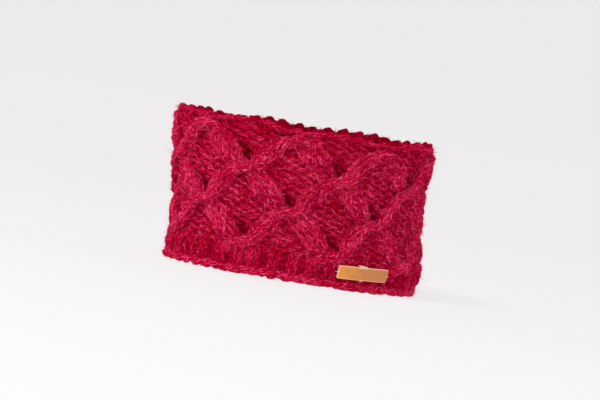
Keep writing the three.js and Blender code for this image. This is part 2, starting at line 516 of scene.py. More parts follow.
@dataclass
class PurlGround:
    """The reverse stocking stitch that fills the diamonds between the ropes."""

    shape: BandShape
    stitches: int = 48
    rows: int = 18
    lowest: float = 20.6 * MM
    row_height: float = 5.4 * MM
    yarn_radius: float = 1.75 * MM
    steps: int = 16
    middle_depth: float = 7.5 * MM
    under_rope: float = 2.4 * MM
    cell_share: float = 0.8
    pocket_depth: float = 6.4 * MM
    pocket_open: float = 0.6
    pocket_rise: float = 0.8
    thin: float = 0.08
    head_swell: float = 0.1
    pillow: float = 1.0 * MM
    # Painted shade on the top rows: from border_low, over border_fade, their colour is read up to
    # border_shade deeper, so it comes out darker.
    border_low: float = 97 * MM
    border_fade: float = 9 * MM
    border_shade: float = 2.4 * MM
    arc_wobble: Wobble = Wobble(3, 0.45 * MM)
    height_wobble: Wobble = Wobble(4, 0.35 * MM)
    depth_wobble: Wobble = Wobble(5, 0.5 * MM)
    radius_wobble: Wobble = Wobble(6, 0.1)
    loop: Loop = Loop(12.4 * MM, 4.1 * MM, 0.12, 1.3 * MM, 0.55 * MM)

    def middle(self, arc: Array, height: Array) -> Array:
        """How deep the fabric lies: out between the ropes, in below them, deep in the holes.

        Args:
            arc: Arc lengths.
            height: Heights.

        Returns:
            The depth of the middle of the fabric.
        """
        shape = self.shape
        a, b = shape.cells(arc, height)
        window = np.sin(math.pi * a) * np.sin(math.pi * b)
        near = np.minimum(np.minimum(a, 1 - a), np.minimum(b, 1 - b)) * 2
        under = np.clip(1 - near * shape.row_spacing * self.cell_share / shape.rope_half_width, 0, 1)
        _, _, hole = shape.pocket(arc, height)
        depth = self.middle_depth + self.under_rope * under + self.pocket_depth * hole
        return depth - self.pillow * window**2

    def strands(self) -> Strands:
        """Lays one closed strand for each row of stitches.

        Returns:
            The strands of the whole ground.
        """
        shape = self.shape
        turn = np.arange(self.stitches * self.steps) * TURN / self.steps
        across, up, forward = self.loop.offsets(turn)
        across = (across * shape.perimeter / (self.stitches * self.loop.width))[None]
        row = self.lowest + np.arange(self.rows)[:, None] * self.row_height
        arc = across + shape.wobble(across, row, self.arc_wobble)
        height = row + up + shape.wobble(across, row * 1.7, self.height_wobble)
        around, upward, hole = shape.pocket(arc, height)
        depth = self.middle(arc, height) + forward
        depth = depth + shape.wobble(across, row * 2.3, self.depth_wobble)
        radius = self.yarn_radius * (1 + self.head_swell * np.abs(np.cos(turn)) - self.thin)
        radius = radius * (1 + shape.wobble(across * 3, row, self.radius_wobble))
        arc = arc + around * hole * self.pocket_open
        height = height + upward * hole * self.pocket_open * self.pocket_rise
        # Painted shade that grows towards the top edge.
        border = np.clip((height - self.border_low) / self.border_fade, 0, 1)
        return Strands(arc, height, depth, radius, closed=True, shade=self.border_shade * border)


@dataclass
class RopeSet:
    """All ropes of one lean, each two stitches wide and drawn in where it crosses another.

    The lay is how far the legs of a stitch lean away from the way that the rope runs.
    """

    shape: BandShape
    lean: Lean
    bend: float
    waist: float
    depth: float
    crossing_shift: float
    pinch: float
    swell: float
    lay: float
    yarn_radius: float = 1.78 * MM
    pitch: float = 6.7 * MM
    skew: float = 0.45
    first_row: float = -1.36
    last_row: float = 2.16
    low_fade: float = 0.25
    low_sink: float = 2.5 * MM
    high_fade: float = 0.15
    high_sink: float = 2.0 * MM
    steps: int = 16
    tail: float = 0.42
    tail_from: float = 0.96
    tail_dive: float = 5
    tail_taper: float = 0.35
    crown: float = 2.4 * MM
    crown_power: float = 2.2
    dive: float = 3.0 * MM
    thin: float = 0.92
    leg_swell: float = 0.14
    pinch_reach: float = 0.2
    pinch_taper: float = 0.2
    cover_reach: float = 0.24
    along_scatter: float = 0.4 * MM
    across_scatter: float = 0.3 * MM
    reach_scatter: float = 0.06
    width_scatter: float = 0.05
    end_climb: float = 0.6
    pocket_open: float = 0.8
    pocket_rise: float = 0.5
    depth_wobble: Wobble = Wobble(8, 0.35 * MM)
    radius_wobble: Wobble = Wobble(9, 0.07)
    loop: Loop = Loop(8.2 * MM, 4.7 * MM, 0.155, 1.5 * MM)

    def route(self) -> tuple[Array, Array, Array, Array]:
        """Follows the middle of one rope up the band.

        Returns:
            The distance along it, its arc length, its height, and the rows climbed.
        """
        rows = np.linspace(self.first_row, self.last_row, 600)
        run = self.shape.rope_run(rows, self.bend, self.waist) * self.lean.value
        arc = self.shape.crossing_arc + run * self.shape.repeat_length / 2
        height = self.shape.lowest_crossing + (rows + 1) * self.shape.row_spacing
        steps = np.hypot(np.diff(arc), np.diff(height))
        return np.concatenate([[0], np.cumsum(steps)]), arc, height, rows

    def strands(self) -> Strands:
        """Lays a short strand across each rope for every course of its stitches.

        Returns:
            The strands of all the ropes.
        """
        shape, loop = self.shape, self.loop
        far, arc, height, rows = self.route()
        count = int(far[-1] / self.pitch)
        samples = int(self.steps * (2 + self.tail)) + 1
        reach = TURN * self.tail / 2
        turn = np.linspace(-math.pi - reach, 3 * math.pi + reach, samples)
        across, up, forward = loop.offsets(turn)
        across = across - loop.width / 2
        random = np.random.default_rng(20 + self.lean.value)
        each = (shape.repeats, count, 1)
        middle = (np.arange(count)[:, None] + 0.5) * self.pitch
        middle = middle + random.normal(0, self.along_scatter, each)
        at = middle + up * random.normal(1, self.reach_scatter, each)
        at = at - self.skew * self.lean.value * across
        climbed = np.interp(at, far, rows)
        crossing = np.exp(-(((climbed - np.round(climbed)) / self.pinch_reach) ** 2))
        wide = 1 + self.swell - (self.pinch + self.swell) * crossing
        spread = across * wide * random.normal(1, self.width_scatter, each)
        spread = spread + random.normal(0, self.across_scatter, each) + self.lay * up
        side_arc = -np.interp(at, far, np.gradient(height, far))
        side_height = np.interp(at, far, np.gradient(arc, far))
        around = np.arange(shape.repeats)[:, None, None] * shape.repeat_length
        place_arc = np.interp(at, far, arc) + side_arc * spread + around
        place_height = np.interp(at, far, height) + side_height * spread
        place_height = place_height + (at - np.clip(at, 0, far[-1])) * self.end_climb
        around_hole, up_hole, hole = shape.pocket(place_arc, place_height)
        place_arc = place_arc + around_hole * hole * self.pocket_open
        place_height = place_height + up_hole * hole * self.pocket_open * self.pocket_rise
        edge = np.clip(np.abs(across) / loop.width - self.tail_from, 0, 1) * self.tail_dive
        depth = self.depth - forward + self.cover(climbed, across) + self.dive * edge
        depth = depth + shape.wobble(place_arc, place_height, self.depth_wobble)
        radius = self.yarn_radius * (self.thin + self.leg_swell * np.abs(np.sin(turn)))
        radius = radius * (1 - self.tail_taper * np.clip(edge, 0, 1))
        radius = radius * (1 - self.pinch_taper * crossing)
        radius = radius * (1 + shape.wobble(place_arc * 2, place_height, self.radius_wobble))
        parts = (place_arc, place_height, depth, radius)
        return Strands(*(part.reshape(-1, samples) for part in np.broadcast_arrays(*parts)))

    def cover(self, climbed: Array, across: Array) -> Array:
        """How much deeper a rope lies at its sides, at crossings and at its ends.

        Args:
            climbed: Rows of crossings climbed.
            across: Distances from the rope's middle.

        Returns:
            The added depth.
        """
        crossing = np.exp(-(((climbed - np.round(climbed)) / self.cover_reach) ** 2))
        side = self.crown * (np.abs(across) / self.loop.width) ** self.crown_power
        low_end = np.clip((self.first_row + self.low_fade - climbed) / self.low_fade, 0, 1)
        high_end = np.clip((climbed - self.last_row + self.high_fade) / self.high_fade, 0, 1)
        shift = self.crossing_shift * crossing
        return side + shift + low_end * self.low_sink + high_end * self.high_sink


@dataclass
class RibbedHem:
    """The rib below the trellis: one plain wale, then one purl wale that sinks behind it."""

    shape: BandShape
    stitches: int = 80
    row_heights: tuple[float, ...] = (8.6 * MM, 13.2 * MM, 17.8 * MM)
    yarn_radius: float = 1.65 * MM
    thin: float = 0.95
    plain_swell: float = 0.62
    wale_sharpness: float = 2.4
    steps: int = 14
    middle_depth: float = 4.3 * MM
    sink: float = 1.9 * MM
    spread: float = 0.33
    bow: float = 0.9 * MM
    bow_middle: float = 13.5 * MM
    bow_reach: float = 8 * MM
    label_start: float = 137.6 * MM
    label_end: float = 190.6 * MM
    label_fade: float = 3 * MM
    label_low: float = 6.5 * MM
    label_low_fade: float = 2 * MM
    seat_depth: float = 2.6 * MM
    # Painted shade: the hem's colour is read this much deeper, so the whole hem comes out darker.
    shade: float = 5.2 * MM
    arc_wobble: Wobble = Wobble(13, 0.8 * MM)
    height_wobble: Wobble = Wobble(14, 0.4 * MM)
    depth_wobble: Wobble = Wobble(15, 0.35 * MM)
    radius_wobble: Wobble = Wobble(16, 0.06)
    loop: Loop = Loop(7.44 * MM, 4.4 * MM, 0.14, 1.3 * MM)

    def strands(self) -> Strands:
        """Lays one closed strand for each row of the rib.

        Returns:
            The strands of the hem.
        """
        shape, width = self.shape, self.loop.width
        turn = np.arange(self.stitches * self.steps) * TURN / self.steps
        across, up, forward = self.loop.offsets(turn)
        phase = math.pi * across / width
        plain = np.tanh(self.wale_sharpness * np.cos(phase))[None]
        across = (across + self.spread * width / math.pi * np.sin(phase))[None]
        across = across * shape.perimeter / (self.stitches * width)
        row = np.array(self.row_heights)[:, None]
        arc = across + shape.wobble(across, row * 0.3, self.arc_wobble)
        height = row + up + shape.wobble(across, row, self.height_wobble)
        depth = self.middle_depth - forward * plain + self.sink * (1 - plain) / 2
        depth = depth + self.bow * ((height - self.bow_middle) / self.bow_reach) ** 2
        depth = depth + shape.wobble(across, row * 2, self.depth_wobble)
        leg = np.abs(np.sin(turn)) * (1 + plain) / 2
        radius = self.yarn_radius * (self.thin + self.plain_swell * leg)
        radius = radius * (1 + shape.wobble(across * 3, row, self.radius_wobble))
        depth = self.press(arc, height, depth, radius)
        return Strands(arc, height, depth, radius, closed=True, shade=self.shade)

    def press(self, arc: Array, height: Array, depth: Array, radius: Array) -> Array:
        """Keeps the hem behind the back of the label.

        Args:
            arc: Arc lengths.
            height: Heights.
            depth: Depths before the label presses on them.
            radius: The yarn's radius there.

        Returns:
            Depths that leave room for the label.
        """
        inside = np.clip((arc - self.label_start) / self.label_fade, 0, 1)
        inside = inside * np.clip((self.label_end - arc) / self.label_fade, 0, 1)
        inside = inside * np.clip((height - self.label_low) / self.label_low_fade, 0, 1)
        lowest = self.seat_depth + radius
        return np.where(depth < lowest, depth + (lowest - depth) * inside, depth)


@dataclass
class EdgeCord:
    """An edge of the fabric where strands of yarn wind slowly round each other."""

    shape: BandShape
    middle_height: float
    middle_depth: float
    winds: int
    rise: float
    swing: float
    yarn_radius: float
    seed: int
    count: int = 3
    steps: int = 22
    # Painted shade: how much deeper the cord's colour is read, which darkens it.
    shade: float = 0.0
    slide: float = 0.9 * MM

    def strands(self) -> Strands:
        """Lays the strands, each closed round the band.

        Returns:
            The strands of the edge.
        """
        sizes = (0.3 * MM, 0.25 * MM, 0.06, 0.35)
        high, deep, thick, wound = (Wobble(self.seed + i, size) for i, size in enumerate(sizes))
        turn = np.arange(self.winds * self.steps) * TURN / self.steps
        arc = turn * self.shape.perimeter / (TURN * self.winds) + np.zeros((self.count, 1))
        level = np.zeros_like(arc)
        phase = turn + TURN * np.arange(self.count)[:, None] / self.count
        phase = phase + self.shape.wobble(arc, level, wound)
        height = self.middle_height + self.rise * np.sin(phase)
        height = height + self.shape.wobble(arc, level, high)
        depth = self.middle_depth - self.swing * np.cos(phase)
        depth = depth + self.shape.wobble(arc, level, deep)
        radius = self.yarn_radius * (1 + self.shape.wobble(arc * 2, level, thick))
        height = np.maximum(height, radius)
        arc = arc + self.slide * np.sin(2 * phase)
        return Strands(arc, height, depth, radius, closed=True, shade=self.shade)


@dataclass
class Backing:
    """A sheet behind the stitches, which closes the gaps between the strands and shows in them as a dark
    red that stands for the shade there.
    """

    shape: BandShape
    ground: PurlGround
    columns: int = 320
    rows: int = 44
    lowest: float = 2.4 * MM
    highest: float = 115.0 * MM
    behind: float = 0.1 * MM
    hem_top: float = 22 * MM
    hem_fade: float = 4 * MM
    hem_depth: float = 5.0 * MM

    def build(self) -> Piece:
        """Makes the sheet behind the stitches.

        Returns:
            The sheet.
        """
        arc = np.arange(self.columns) * self.shape.perimeter / self.columns
        level = np.linspace(self.lowest, self.highest, self.rows)
        arc, level = np.meshgrid(arc, level, indexing="ij")
        depth = self.ground.middle(arc, level) + self.behind
        hem = np.clip((self.hem_top - level) / self.hem_fade, 0, 1)
        depth = depth + (self.hem_depth - depth) * hem
        verts = self.shape.place(arc, level, depth).reshape(-1, 3)
        faces = grid_faces(self.columns, self.rows, join_columns=True)
        return quad_object("knit_backing", verts, faces, depth=depth)


@dataclass
class Fuzz:
    """Loose fibres that lie along the yarn and stand off it."""

    name: str
    count: int
    shortest: float
    longest: float
    stand: float
    width: float
    seed: int
    wander: float = 0.3
    curl: float = 1.4
    segments: int = 2
    roll: float = 1.2
    outer_facing: float = 0.1
    inner_share: float = 0.12
    root: float = 0.92
    tip: float = 0.25
    highest_stand: float = 2.1 * MM
    lowest: float = 0.3 * MM
    highest: float = 120.5 * MM
    top_press: float = 0.7

    def build(self, spun: list[SpunYarn]) -> Piece:
        """Grows the fibres from random places on the yarn.

        Args:
            spun: The strands that carry them.

        Returns:
            One object with every fibre as a thin ribbon.
        """
        random = np.random.default_rng(self.seed)
        lists = zip(*(yarn.listed() for yarn in spun))
        points, along, across, second, out, radius, depth = map(np.concatenate, lists)
        picked = random.integers(0, len(points), self.count * 3)
        angle = random.uniform(0, TURN, len(picked))[:, None]
        radial = across[picked] * np.cos(angle) + second[picked] * np.sin(angle)
        facing = np.sum(radial * out[picked], -1)
        inner = random.uniform(0, 1, len(picked)) < self.inner_share
        kept = np.flatnonzero((facing > self.outer_facing) | inner)[: self.count]
        picked, radial, facing = picked[kept], radial[kept][:, None], facing[kept]
        each = (len(picked), 1, 1)
        line = along[picked][:, None] * random.choice([-1.0, 1.0], each)
        side = np.cross(line, radial)
        root = points[picked][:, None] + radial * (radius[picked] * self.root).reshape(each)
        length = random.uniform(self.shortest, self.longest, each)
        stand = np.minimum(np.abs(random.normal(0, self.stand, each)), self.highest_stand)
        drift = random.normal(0, self.wander, each)
        curl = random.normal(0, self.wander * self.curl, each)
        share = np.linspace(0, 1, self.segments + 1)[None, :, None]
        reach = length * share
        centre = root + line * reach
        centre = centre + side * reach * (drift + curl * share)
        centre = centre + radial * stand * share**1.5
        roll = random.uniform(-self.roll, self.roll, each)
        half = unit(side * np.cos(roll) + radial * np.sin(roll)) * self.width / 2
        half = half * (1 - (1 - self.tip) * share)
        verts = np.stack([centre - half, centre + half], 2)
        over = np.maximum(verts[..., 2] - self.highest, 0)
        verts[..., 2] = np.maximum(verts[..., 2] - self.top_press * over, self.lowest)
        faces = 2 * np.arange(self.segments)[:, None] + (0, 1, 3, 2)
        corners = 2 * (self.segments + 1)
        quads = (np.arange(len(picked))[:, None, None] * corners + faces).reshape(-1, 4)
        # Each fibre takes the painted shade of the depth at its root.
        shade_depth = np.repeat(depth[picked] - facing * radius[picked], corners)
        return quad_object(self.name, verts.reshape(-1, 3), quads, depth=shade_depth)


class Nodes:
    """A new material, and a short way to write its node tree."""

    def __init__(self, name: str) -> None:
        """Starts the material, with a Principled shader.

        Args:
            name: The material's name.
        """
        self.material = bpy.data.materials.new(name)
        self.material.use_nodes = True
        self.shader = self.material.node_tree.nodes["Principled BSDF"]

    def put(self, node: bpy.types.Node, **values: object) -> None:
        """Sets a node's properties and inputs.

        Args:
            node: The node.
            **values: Values by name, with spaces as underscores. A socket is linked.
        """
        for name, value in values.items():
            if hasattr(node, name):
                setattr(node, name, value)
            elif isinstance(value, Socket):
                self.material.node_tree.links.new(value, node.inputs[name.replace("_", " ")])
            else:
                node.inputs[name.replace("_", " ")].default_value = value

    def add(self, kind: str, **values: object) -> bpy.types.Node:
        """Adds a node and puts values in it.

        Args:
            kind: The node type's name after ShaderNode.
            **values: Its properties and inputs.

        Returns:
            The new node.
        """
        node = self.material.node_tree.nodes.new("ShaderNode" + kind)
        self.put(node, **values)
        return node

    def maths(self, operation: str, *values: Socket | float) -> Socket:
        """Adds a Math node.

        Args:
            operation: What it does.
            *values: What it works on.

        Returns:
            Its output.
        """
        node = self.add("Math", operation=operation)
        for slot, value in zip(node.inputs, values):
            if isinstance(value, Socket):
                self.material.node_tree.links.new(value, slot)
            else:
                slot.default_value = value
        return node.outputs[0]

    def noise(self, place: Socket, scale: float, detail: float, rough: float = 0.5) -> Socket:
        """Adds a noise and gives its value."""
        node = self.add("TexNoise", Vector=place, Scale=scale, Detail=detail, Roughness=rough)
        return node.outputs["Fac"]

    def ramp(self, value: Socket, *stops: tuple[float, Colour]) -> Socket:
        """Adds a colour ramp.

        Args:
            value: What it is read by.
            *stops: Places and their colours, from the lowest up.

        Returns:
            The colour.
        """
        node = self.add("ValToRGB", Fac=value)
        steps = node.color_ramp.elements
        steps[0].position, steps[1].position = stops[0][0], stops[-1][0]
        for place, _ in stops[1:-1]:
            steps.new(place)
        for step, (_, colour) in zip(steps, stops):
            step.color = (*colour, 1)
        return node.outputs["Color"]

    def mix(self, share: Socket | float, first: Socket, second: object, how: str = "MIX") -> Socket:
        """Adds a colour mix and gives its result."""
        node = self.add("Mix", data_type="RGBA", blend_type=how, Factor=share, A=first, B=second)
        return node.outputs["Result"]

    def bump(self, height: Socket, strength: float, distance: float) -> None:
        """Bumps the shader's surface."""
        node = self.add("Bump", Height=height, Strength=strength, Distance=distance)
        self.put(self.shader, Normal=node.outputs["Normal"])

    def paint_depth_shade(self, colour: Socket) -> Socket:
        """Paints shade into a colour: darker and redder where the yarn lies low, in place of the shade
        in hollows that light only reaches by way of wool.

        Args:
            colour: The colour on the crests.

        Returns:
            The colour with its painted shade at each depth.
        """
        # Painted shade: no change near the crests, then darker and more saturated red down to the
        # deepest holes.
        shallow, deep = -0.3 * MM, 10.7 * MM
        tints = (
            (0.0, (1.0, 1.0, 1.0)),
            (4.5 / 11, (0.90, 0.70, 0.82)),
            (7.75 / 11, (0.81, 0.22, 0.52)),
            (1.0, (0.50, 0.0, 0.21)),
        )
        shade_depth = self.add("Attribute", attribute_name="shade_depth").outputs["Fac"]
        share = self.add("MapRange", Value=shade_depth, From_Min=shallow, From_Max=deep)
        return self.mix(1.0, colour, self.ramp(share.outputs["Result"], *tints), "MULTIPLY")


@dataclass(frozen=True)
class YarnFinish:
    """Soft wool yarn: lighter streaks that are partly paler fibre and partly painted fibre highlight,
    and a slow change of dye.
    """

    name: str = "crimson_wool"
    deep: Colour = (0.27, 0.0, 0.014)
    main: Colour = (0.445, 0.0, 0.032)
    light: Colour = (0.84, 0.068, 0.19)
    streak_share: float = 0.75
    stretch: tuple[float, float, float] = (3.0, 8.0, 1.0)
    ply_turns: float = 1.1
    ply_height: float = 0.22
    glow: float = 1.0
    glow_radius: tuple[float, float, float] = (1.0, 0.12, 0.3)
    glow_reach: float = 1.6 * MM

    def material(self) -> bpy.types.Material:
        """Makes the yarn's material, which reads the map along each strand.

        Returns:
            The material.
        """
        nodes = Nodes(self.name)
        uv = nodes.add("UVMap", uv_map="yarn_map").outputs["UV"]
        stretched = nodes.add("Mapping", Vector=uv, Scale=self.stretch).outputs["Vector"]
        streak = nodes.noise(stretched, scale=1.6, detail=4.0, rough=0.62)
        place = nodes.add("TexCoord").outputs["Object"]
        cloud = nodes.noise(place, scale=90.0, detail=2.0)
        streaked = nodes.maths("MULTIPLY", streak, self.streak_share)
        tone = nodes.maths("MULTIPLY_ADD", cloud, 1 - self.streak_share, streaked)
        # The light end of the ramp is partly paler fibre and partly painted highlight; the same streak
        # noise raises the bump there.
        colour = nodes.ramp(tone, (0.38, self.deep), (0.5, self.main), (0.64, self.light))
        split = nodes.add("SeparateXYZ", Vector=uv)
        around = nodes.maths("MULTIPLY", split.outputs["Y"], 2.0)
        along = nodes.maths("MULTIPLY", split.outputs["X"], self.ply_turns)
        wound = nodes.maths("ADD", around, along)
        ply = nodes.maths("SINE", nodes.maths("MULTIPLY", wound, TURN))
        relief = nodes.maths("MULTIPLY_ADD", ply, self.ply_height, streak)
        nodes.bump(relief, strength=0.9, distance=0.9 * MM)
        nodes.put(
            nodes.shader,
            Base_Color=nodes.paint_depth_shade(colour),
            Subsurface_Weight=self.glow,
            Subsurface_Radius=self.glow_radius,
            Subsurface_Scale=self.glow_reach,
            Roughness=1.0,
            Specular_IOR_Level=0.0,
        )
        return nodes.material


@dataclass(frozen=True)
class WoolFinish:
    """Single fibres or the sheet in the gaps: two tones of wool in a fine noise, with painted shade by
    depth, and a relief on the sheet.
    """

    name: str
    main: Colour
    light: Colour
    scale: float = 420.0
    detail: float = 1.0
    main_to: float = 0.4
    light_from: float = 0.75
    relief: float = 0.0

    def material(self) -> bpy.types.Material:
        """Makes the material.

        Returns:
            The material.
        """
        nodes = Nodes(self.name)
        noise = nodes.noise(nodes.add("TexCoord").outputs["Object"], self.scale, self.detail)
        colour = nodes.ramp(noise, (self.main_to, self.main), (self.light_from, self.light))
        # On the sheet the lighter tone lies on the raised bumps, a small painted highlight.
        if self.relief > 0:
            nodes.bump(noise, self.relief, distance=0.4 * MM)
        base = nodes.paint_depth_shade(colour)
        nodes.put(nodes.shader, Base_Color=base, Roughness=1.0, Specular_IOR_Level=0.0)
        return nodes.material


@dataclass(frozen=True)
class LeatherFinish:
    """Tan leather: a fine grain, a warmer left end, and pale edges that are partly the raw edge's colour
    and partly a painted rim highlight.
    """

    length: float
    height: float
    name: str = "tan_leather"
    warm: Colour = (0.77, 0.31, 0.046)
    main: Colour = (0.64, 0.228, 0.059)
    rosy: Colour = (0.61, 0.218, 0.076)
    edge: Colour = (0.92, 0.52, 0.37)
    edge_width: float = 0.55 * MM
    edge_share: float = 0.85
    patchy: float = 0.8
    patchy_middle: float = 0.42
    grain_share: float = 0.25
    pore_share: float = 0.6

    def material(self) -> bpy.types.Material:
        """Makes the leather's material, which reads the label's own map in metres.

        Returns:
            The material.
        """
        nodes = Nodes(self.name)
        uv = nodes.add("UVMap", uv_map="label_map").outputs["UV"]
        split = nodes.add("SeparateXYZ", Vector=uv)
        x, y = split.outputs["X"], split.outputs["Y"]
        grain = nodes.noise(uv, scale=900.0, detail=3.0, rough=0.6)
        pores = nodes.add("TexVoronoi", Vector=uv, Scale=1500.0).outputs["Distance"]
        patch = nodes.noise(uv, scale=120.0, detail=2.0)
        along = nodes.maths("SUBTRACT", nodes.maths("DIVIDE", x, self.length), self.patchy_middle)
        tone = nodes.maths("MULTIPLY_ADD", patch, self.patchy, along)
        colour = nodes.ramp(tone, (0.0, self.warm), (0.4, self.main), (0.9, self.rosy))
        colour = nodes.mix(self.grain_share, colour, grain, "MULTIPLY")
        # Pale edge band: partly the raw edge's own colour, partly a painted rim highlight.
        across = nodes.maths("MINIMUM", x, nodes.maths("SUBTRACT", self.length, x))
        upward = nodes.maths("MINIMUM", y, nodes.maths("SUBTRACT", self.height, y))
        inside = nodes.maths("MINIMUM", across, upward)
        fade = nodes.add("MapRange", Value=inside, From_Max=self.edge_width)
        nodes.put(fade, To_Min=self.edge_share, To_Max=0.0)
        colour = nodes.mix(fade.outputs["Result"], colour, (*self.edge, 1))
        relief = nodes.maths("MULTIPLY_ADD", pores, self.pore_share, grain)
        nodes.bump(relief, strength=0.35, distance=0.25 * MM)
        nodes.put(nodes.shader, Base_Color=colour, Roughness=0.55, Specular_IOR_Level=0.35)
        return nodes.material


@dataclass(frozen=True)
class ThreadFinish:
    """Waxed cream thread with a visible twist, painted darker in its grooves and lighter on its ridges.
    """

    name: str = "cream_thread"
    dark: Colour = (0.78, 0.46, 0.30)
    light: Colour = (1.0, 0.78, 0.60)
    twist: float = math.radians(35)

    def material(self) -> bpy.types.Material:
        """Makes the thread's material, which reads the map along it.

        Returns:
            The material.
        """
        nodes = Nodes(self.name)
        uv = nodes.add("UVMap", uv_map="yarn_map").outputs["UV"]
        turned = nodes.add("Mapping", Vector=uv, Rotation=(0, 0, self.twist)).outputs["Vector"]
        twist = nodes.add("TexWave", Vector=turned, Scale=1.4, Distortion=0.6).outputs["Fac"]
        nodes.bump(twist, strength=0.6, distance=0.15 * MM)
        # Painted shade and highlight: the same twist wave as the bump, darker in the grooves and lighter
        # on the ridges.
        colour = nodes.ramp(twist, (0.0, self.dark), (1.0, self.light))
        nodes.put(nodes.shader, Base_Color=colour, Roughness=0.6)
        return nodes.material


@dataclass(frozen=True)
class StageFinish:
    """The pale sweep that the band stands on, which glows a little like a lit backdrop."""

    name: str = "pale_sweep"
    colour: Colour = (0.16, 0.157, 0.157)
    light: Colour = (1.0, 0.985, 0.985)
    glow: float = 0.735

    def material(self) -> bpy.types.Material:
        """Makes the sweep's plain matt material.

        Returns:
            The material.
        """
        nodes = Nodes(self.name)
        nodes.put(
            nodes.shader,
            Base_Color=(*self.colour, 1),
            Roughness=0.9,
            Specular_IOR_Level=0.1,
            Emission_Color=(*self.light, 1),
            Emission_Strength=self.glow,
        )
        return nodes.material


@dataclass(frozen=True)
class Lamp:
    """A square soft lamp, so far towards the camera, to its right, and up from the band."""

    name: str
    toward: float
    right: float
    up: float
    size: float
    power: float
    colour: Colour


@dataclass
class Studio:
    """A round pale sweep, soft lamps, and the camera."""

    azimuth: float = 60.0
    elevation: float = 2.0
    distance: float = 3.5
    roll: float = 9.8
    scale: float = 0.782 * MM
    image_width: int = 600
    aim_u: float = -1.5
    aim_v: float = 3.3
    aim_height: float = 58 * MM
    sensor: float = 36.0
    farthest: float = 100.0
    flat_rings: tuple[float, ...] = (0.0002, 1, 3, 5)
    flat_radius: float = 7.0
    wall_radius: float = 3.0
    wall_height: float = 3.0
    bend_steps: int = 16
    columns: int = 96
    air_colour: Colour = (1.0, 0.995, 0.99)
    air_strength: float = 0.36
    lamps: tuple[Lamp, ...] = (
        Lamp("key_lamp", 1.5, -1.0, 1.8, 1.0, 36.0, (1.0, 0.985, 0.97)),
        Lamp("fill_lamp", 2.3, 0.3, 0.5, 1.4, 15.5, (1.0, 0.99, 0.98)),
    )

    def directions(self) -> tuple[Vector, Vector, Vector]:
        """Finds the camera's directions.

        Returns:
            The directions towards the camera, to its right, and up past it.
        """
        turn, tilt = math.radians(self.azimuth), math.radians(self.elevation)
        level = Vector((math.sin(turn), -math.cos(turn), 0))
        right = Vector((math.cos(turn), math.sin(turn), 0))
        toward = level * math.cos(tilt) + Vector((0, 0, 1)) * math.sin(tilt)
        return toward, right, toward.cross(right)

    def camera(self) -> None:
        """Puts the camera where the photo was taken from, with the same roll."""
        toward, right, up = self.directions()
        aim = Vector((0, 0, self.aim_height))
        aim = aim - right * (self.aim_u * self.scale) + up * (self.aim_v * self.scale)
        roll = math.radians(self.roll)
        across = right * math.cos(roll) + up * math.sin(roll)
        above = up * math.cos(roll) - right * math.sin(roll)
        data = bpy.data.cameras.new("photo_camera")
        data.sensor_width = self.sensor
        data.lens = self.sensor * self.distance / (self.image_width * self.scale)
        data.clip_end = self.farthest
        camera = bpy.data.objects.new("photo_camera", data)
        turned = Matrix((across, above, toward)).transposed().to_4x4()
        camera.matrix_world = Matrix.Translation(aim + toward * self.distance) @ turned
        bpy.context.scene.collection.objects.link(camera)
        bpy.context.scene.camera = camera

    def sweep(self) -> None:
        """Builds the floor, which curves up into a wall all round."""
        bend = np.linspace(0, math.pi / 2, self.bend_steps + 1)
        outer = self.flat_radius + self.wall_radius * np.sin(bend)
        rising = self.wall_radius * (1 - np.cos(bend))
        radius = np.concatenate([self.flat_rings, outer, outer[-1:]])
        height = np.concatenate([np.zeros(len(self.flat_rings)), rising, rising[-1:]])
        height[-1] += self.wall_height
        turns = np.arange(self.columns)[:, None] * TURN / self.columns
        verts = np.stack(np.broadcast_arrays(np.cos(turns) * radius, np.sin(turns) * radius, height), -1)
        faces = grid_faces(self.columns, len(radius), join_columns=True)[:, (0, 3, 2, 1)]
        floor = quad_object("pale_sweep", verts.reshape(-1, 3), faces)
        floor.data.materials.append(StageFinish().material())

    def lights(self) -> None:
        """Hangs the lamps, which point at the band, and sets the light from all round."""
        toward, right, up = self.directions()
        middle = Vector((0, 0, self.aim_height))
        for lamp in self.lamps:
            data = bpy.data.lights.new(lamp.name, "AREA")
            data.size, data.energy, data.color = lamp.size, lamp.power, lamp.colour
            hung = bpy.data.objects.new(lamp.name, data)
            place = toward * lamp.toward + right * lamp.right + up * lamp.up
            away = (place - middle).normalized()
            turned = away.to_track_quat("Z", "Y").to_matrix().to_4x4()
            hung.matrix_world = Matrix.Translation(place) @ turned
            bpy.context.scene.collection.objects.link(hung)
        world = bpy.data.worlds.new("studio_air")
        bpy.context.scene.world = world
        world.use_nodes = True
        air = world.node_tree.nodes["Background"]
        air.inputs["Color"].default_value = (*self.air_colour, 1)
        air.inputs["Strength"].default_value = self.air_strength

    def build(self) -> None:
        """Sets up everything that isn't the band."""
        self.sweep()
        self.lights()
        self.camera()
        bpy.context.scene.view_settings.view_transform = "Standard"


